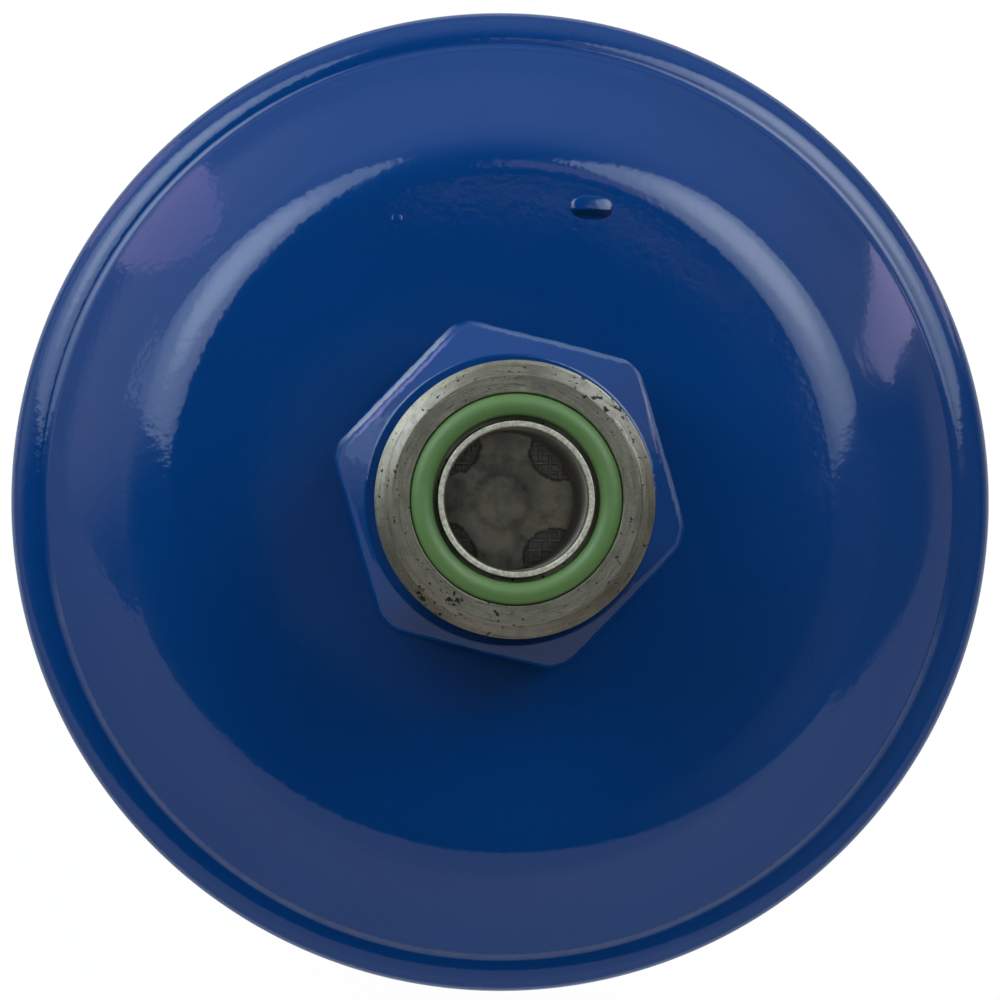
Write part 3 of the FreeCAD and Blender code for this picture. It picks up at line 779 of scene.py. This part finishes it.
# Paint of the welds' groove, with a pale grey line on its front side
groove_paint = make_paint("blue_paint_in_groove", 0.09, 0.14, peel=0.6, pale_groove=0.11)
# Paint of the run, with painted shade on its front slope
run_paint = make_paint("blue_paint_of_run", 0.075, 0.12, peel=1.0, run_shade=0.78)
fitting_material = make_fitting_material()
seal = make_seal()

finish_piece(make_tube("shell_tube"), paint, "blue_paint", "shell")
for end, corner, offset in (("outlet", math.radians(HEX_TURN), HEX_OFFSET), ("inlet", 0.0, (0, 0))):
    cap = make_cap(f"{end}_cap")
    weld = make_weld(f"{end}_weld")
    fitting = make_fitting(f"{end}_hex_fitting", corner, offset)
    thread = make_thread(f"{end}_thread", math.radians(THREAD_START))
    ring = make_ring(f"{end}_seal_ring")
    if end == "inlet":
        for piece in (cap, weld, fitting, thread, ring):
            turn_over(piece)
    finish_piece(cap, paint, "blue_paint", f"{end}_end_cap")
    finish_piece(weld, groove_paint, "blue_paint", f"{end}_seam_weld")
    finish_piece(fitting, fitting_material, "bare_steel", f"{end}_fitting")
    finish_piece(thread, fitting_material, "bare_steel")
    finish_piece(ring, seal, "green_seal", f"{end}_o_ring")

stamped = make_metal("stamped_steel", (0.16, 0.155, 0.125, 1), (0.30, 0.295, 0.25, 1),
                     rough=0.42, scale=350, depth=0.000006)
woven = make_metal("woven_wire", (0.28, 0.28, 0.262, 1), (0.37, 0.37, 0.35, 1),
                   rough=0.5, scale=1500, depth=0.00001, metallic=0.15)
copper = make_metal("copper", (0.45, 0.20, 0.11, 1), (0.62, 0.31, 0.18, 1),
                    rough=0.35, scale=500, depth=0.00001)
spring_wire = make_metal("spring_steel", (0.16, 0.16, 0.165, 1), (0.28, 0.28, 0.285, 1),
                         rough=0.32, scale=600, depth=0.000005)
felt = make_matte("felt", (0.20, 0.19, 0.165, 1), (0.27, 0.26, 0.23, 1), scale=900, depth=0.00012)
block = make_matte("moulded_desiccant", (0.48, 0.42, 0.32, 1), (0.66, 0.6, 0.48, 1),
                   scale=700, depth=0.00015)
finish_piece(make_gauze("wire_gauze"), woven, "woven_wire", "outlet_wire_screen")
paint_run = make_drop("paint_run", azimuth=73.7, radius=23.4, spin=-3,
                      half_sizes=(1.58, 0.93), height=0.27)
finish_piece(paint_run, run_paint, "blue_paint")
paint_bump = make_drop("paint_bump", azimuth=111.1, radius=23.1, spin=0,
                       half_sizes=(0.42, 0.4), height=0.07)
finish_piece(paint_bump, paint, "blue_paint")

for name, material in {
    "perforated_plate": make_plate(), "spring_plate": stamped,
    "outlet_braze_ring": copper, "inlet_braze_ring": copper, "core_spring": spring_wire,
    "outlet_filter_pad": felt, "inlet_cushion_pad": felt, "desiccant_core": block,
}.items():
    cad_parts[name].data.materials.clear()
    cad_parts[name].data.materials.append(material)


# Stage, in metres. Lamps and walls are placed by azimuth from +X and angle from straight up,
# both in degrees and seen from a point just inside the outlet's crown.
STAGE_CENTRE = Vector((0, 0, 0.135))
REACH, FILL_REACH, ROOM_REACH = 1.2, 1.05, 3


def direction_to(azimuth, zenith):
    a, z = math.radians(azimuth), math.radians(zenith)
    return Vector((math.sin(z) * math.cos(a), math.sin(z) * math.sin(a), math.cos(z)))


def start_glow(name):
    """An emitting material, with the direction from the stage's centre and its emission node."""
    material = bpy.data.materials.new(name)
    material.use_nodes = True
    tree = material.node_tree
    tree.nodes.clear()
    place = node(tree, "ShaderNodeTexCoord").outputs["Object"]
    offset = node(tree, "ShaderNodeVectorMath", {0: place, 1: STAGE_CENTRE}, operation="SUBTRACT")
    unit = node(tree, "ShaderNodeVectorMath", {0: offset.outputs[0]}, operation="NORMALIZE")
    glow = node(tree, "ShaderNodeEmission")
    out = node(tree, "ShaderNodeOutputMaterial")
    feed(tree, glow.outputs[0], out.inputs[0])
    return material, tree, unit.outputs[0], glow


def near_direction(tree, unit, azimuth, zenith, outer, inner):
    """From 0 at outer degrees away from a direction to 1 at inner degrees."""
    toward = node(tree, "ShaderNodeVectorMath", {0: unit, 1: direction_to(azimuth, zenith)},
                  operation="DOT_PRODUCT").outputs["Value"]
    return between(tree, toward, math.cos(math.radians(outer)), math.cos(math.radians(inner)))


def make_panel(name, edges, material):
    """A panel of the stage, seen from its centre between edges (azimuth, top, bottom)."""
    steps = 14
    points = []
    for step in range(steps + 1):
        for azimuth, top, bottom in edges:
            zenith = top + (bottom - top) * step / steps
            points.append(STAGE_CENTRE + direction_to(azimuth, zenith) * REACH)
    panel = add_object(name, points, open_grid(steps + 1, len(edges)).tolist())
    panel.data.materials.append(material)
    panel.visible_camera = False


def make_softbox(name, edges, colour, core, levels, spreads):
    """A lamp that grows brighter toward the direction core, in two steps.

    The levels are at its edge, round the core and in it. The spreads give the degrees off the
    core between which the first and the second step rise.
    """
    material, tree, unit, glow = start_glow(name)
    wide = near_direction(tree, unit, *core, *spreads[0])
    tight = near_direction(tree, unit, *core, *spreads[1])
    edge, round_core, middle = levels
    strength = calc(tree, "MULTIPLY_ADD", wide, round_core - edge, edge)
    strength = calc(tree, "MULTIPLY_ADD", tight, middle - round_core, strength)
    glow.inputs["Color"].default_value = colour
    feed(tree, strength, glow.inputs["Strength"])
    make_panel(name, edges, material)


def make_plain_panel(name, edges, colour, strength):
    material, _, _, glow = start_glow(name)
    glow.inputs["Color"].default_value = colour
    glow.inputs["Strength"].default_value = strength
    make_panel(name, edges, material)


make_softbox("softbox_right", [
    (5, 16, 17), (8, 16, 34), (12, 16, 53), (15, 16, 67), (19, 16, 71), (28, 16, 72), (39, 17, 71),
    (48, 18, 70), (56, 22, 67), (62, 26, 61), (68, 30, 53), (73, 33, 45), (78, 37, 39),
], (0.90, 1.0, 1.10, 1), core=(44, 48), levels=(1.2, 2.6, 5.2), spreads=((33, 18), (19, 2)))
make_softbox("softbox_left", [
    (105, 52, 54), (111, 45, 61), (118, 40, 66), (128, 34, 73), (138, 30, 80), (148, 27, 87),
    (155, 25, 91), (164, 25, 91), (167, 26, 74), (171, 27, 37),
], (0.86, 1.0, 1.16, 1), core=(138, 55), levels=(1.3, 2.3, 4.9), spreads=((35, 21), (20, 2)))
make_plain_panel("softbox_far", [
    (56, 20, 27), (67, 22, 31), (77, 23, 32), (88, 25, 33),
], (1.0, 0.8, 0.92, 1), strength=0.7)
make_plain_panel("ceiling_lamp", [
    (36, 12.3, 13.2), (60, 12.2, 13.6), (84, 12.2, 13.6), (99, 12.2, 13.2),
], (1.0, 0.82, 1.0, 1), strength=0.5)
make_plain_panel("strip_right", [
    (17, 98, 100), (20, 94, 108), (24, 95, 125), (28, 104, 127), (31, 112, 127), (35, 122, 127),
], (0.95, 0.80, 1.16, 1), strength=1.5)
make_plain_panel("strip_left", [
    (130, 112, 124), (132, 98, 124), (135, 93, 124), (140, 93, 124), (145, 101, 124),
    (147, 112, 124),
], (1.0, 0.78, 1.12, 1), strength=1.15)


def make_front():
    """Grey wall in front of the drier with a rounded top, a little brighter toward it."""
    material, tree, unit, glow = start_glow("front")
    strength = between(tree, coordinate(tree, unit, 2), -0.45, 0.0, 0.26, 0.46)
    glow.inputs["Color"].default_value = (1.0, 0.96, 1.02, 1)
    feed(tree, strength, glow.inputs["Strength"])
    foot = 150
    make_panel("front", [
        (azimuth, top, foot) for azimuth, top in (
            (170, 118), (175, 112), (180, 107), (185, 101), (190, 96), (197, 90), (202, 86),
            (207, 82), (214, 75), (221, 66), (236, 55), (251, 49), (264, 47), (277, 47), (287, 51),
            (298, 60), (311, 73), (318, 81), (324, 88), (331, 94), (338, 98), (347, 105),
            (354, 109), (363, 111), (372, 112),
        )
    ], material)


def make_room():
    """Dim dome round the stage: a grey wall behind, grey below and nearly dark above."""
    rows, columns = 48, 96
    points = []
    for row in range(rows + 1):
        zenith = 180 * (row + 0.02) / (rows + 0.04)
        for column in range(columns):
            points.append(STAGE_CENTRE + direction_to(360 * column / columns, zenith) * ROOM_REACH)
    index = np.arange((rows + 1) * columns).reshape(rows + 1, columns)
    after = np.roll(index, -1, 1)
    faces = np.stack([index[:-1], after[:-1], after[1:], index[1:]], axis=-1).reshape(-1, 4)
    room = add_object("room", points, faces.tolist())

    material, tree, unit, glow = start_glow("room")
    x, y, z = node(tree, "ShaderNodeSeparateXYZ", {0: unit}).outputs
    level = calc(tree, "SQRT", calc(tree, "ADD", times(tree, x, x), times(tree, y, y)))
    askew = calc(tree, "SUBTRACT", y, times(tree, x, 0.09))
    toward_back = calc(tree, "DIVIDE", askew, level)
    back = times(tree, between(tree, toward_back, 0.1, 0.36), between(tree, z, 0.86, 0.3),
                 between(tree, z, -0.02, -0.5, 1.0, 0.56))
    colour = layered(
        tree, (0.014, 0.015, 0.022, 1),
        (between(tree, z, 0.7, -0.1), (0.075, 0.075, 0.085, 1)),
        (near_direction(tree, unit, 352, 52, 48, 18), (0.15, 0.15, 0.16, 1)),
        (back, (0.42, 0.42, 0.46, 1)),
        (near_direction(tree, unit, 150, 102, 42, 12), (0.60, 0.58, 0.58, 1)),
        (between(tree, z, -0.28, -0.42), (0.24, 0.24, 0.25, 1)),
    )
    feed(tree, colour, glow.inputs["Color"])
    room.data.materials.append(material)
    material.cycles.emission_sampling = "NONE"
    room.visible_camera = False
    room.visible_shadow = False


def make_fill(name, azimuth, zenith, level, size=0.9):
    """A broad soft lamp that nothing mirrors; level is its light on a surface that faces it."""
    light = bpy.data.lights.new(name, "AREA")
    light.shape = "DISK"
    light.size = size
    light.energy = level * math.pi ** 2 * FILL_REACH ** 2
    lamp = bpy.data.objects.new(name, light)
    bpy.context.scene.collection.objects.link(lamp)
    lamp.location = STAGE_CENTRE + direction_to(azimuth, zenith) * FILL_REACH
    lamp.rotation_euler = direction_to(azimuth, zenith).to_track_quat("Z", "Y").to_euler()
    lamp.visible_glossy = False
    lamp.visible_camera = False


make_fill("fill_back", 100, 90, 0.62)
make_fill("fill_left", 205, 92, 0.39)
make_fill("fill_front", 292, 102, 0.88)
make_fill("fill_above", 190, 1.8, 0.14, size=0.12)


def make_floor():
    """Pale round floor a hair below the drier's foot, mostly plain white to the camera."""
    sides, radius, height = 128, 0.2, -0.00002
    turns = [2 * math.pi * side / sides for side in range(sides)]
    rim = [(radius * math.cos(turn), radius * math.sin(turn), height) for turn in turns]
    floor = add_object("floor", rim, [tuple(range(sides))])
    material = bpy.data.materials.new("floor")
    material.use_nodes = True
    tree = material.node_tree
    tree.nodes.clear()
    rays = node(tree, "ShaderNodeLightPath").outputs
    share = times(tree, rays["Is Camera Ray"], 0.86)
    matte = node(tree, "ShaderNodeBsdfDiffuse", {"Color": (0.5, 0.5, 0.5, 1)})
    glow = node(tree, "ShaderNodeEmission", {"Color": (1, 1, 1, 1), "Strength": 1.1})
    both = node(tree, "ShaderNodeMixShader", {0: share, 1: matte.outputs[0], 2: glow.outputs[0]})
    out = node(tree, "ShaderNodeOutputMaterial")
    feed(tree, both.outputs[0], out.inputs[0])
    floor.data.materials.append(material)


make_front()
make_room()
make_floor()

world = bpy.data.worlds.new("studio")
bpy.context.scene.world = world
world.use_nodes = True
tree = world.node_tree
rays = node(tree, "ShaderNodeLightPath").outputs
seen = largest(tree, rays["Is Camera Ray"], rays["Is Glossy Ray"], rays["Is Transmission Ray"])
background = tree.nodes["Background"].inputs
background["Color"].default_value = (1, 1, 1, 1)
feed(tree, seen, background["Strength"])

# Camera: above the outlet, a little left of the axis and looking at the middle of the tube's rim
camera_data = bpy.data.cameras.new("camera")
camera_data.lens = 320.45
camera_data.sensor_width = 36
camera_data.shift_x, camera_data.shift_y = -0.0009, 0.00187
camera = bpy.data.objects.new("camera", camera_data)
bpy.context.scene.collection.objects.link(camera)
eye, target = Vector((-0.0213, -0.0037, 0.8211)), Vector((0, 0, 0.1281))
back = (eye - target).normalized()
right = Vector((0, 1, 0)).cross(back).normalized()
up = back.cross(right)
camera.matrix_world = Matrix((
    (right.x, up.x, back.x, eye.x),
    (right.y, up.y, back.y, eye.y),
    (right.z, up.z, back.z, eye.z),
    (0, 0, 0, 1),
))
camera_data.clip_start, camera_data.clip_end = 0.01, 20
bpy.context.scene.camera = camera
bpy.context.scene.view_settings.view_transform = "Standard"
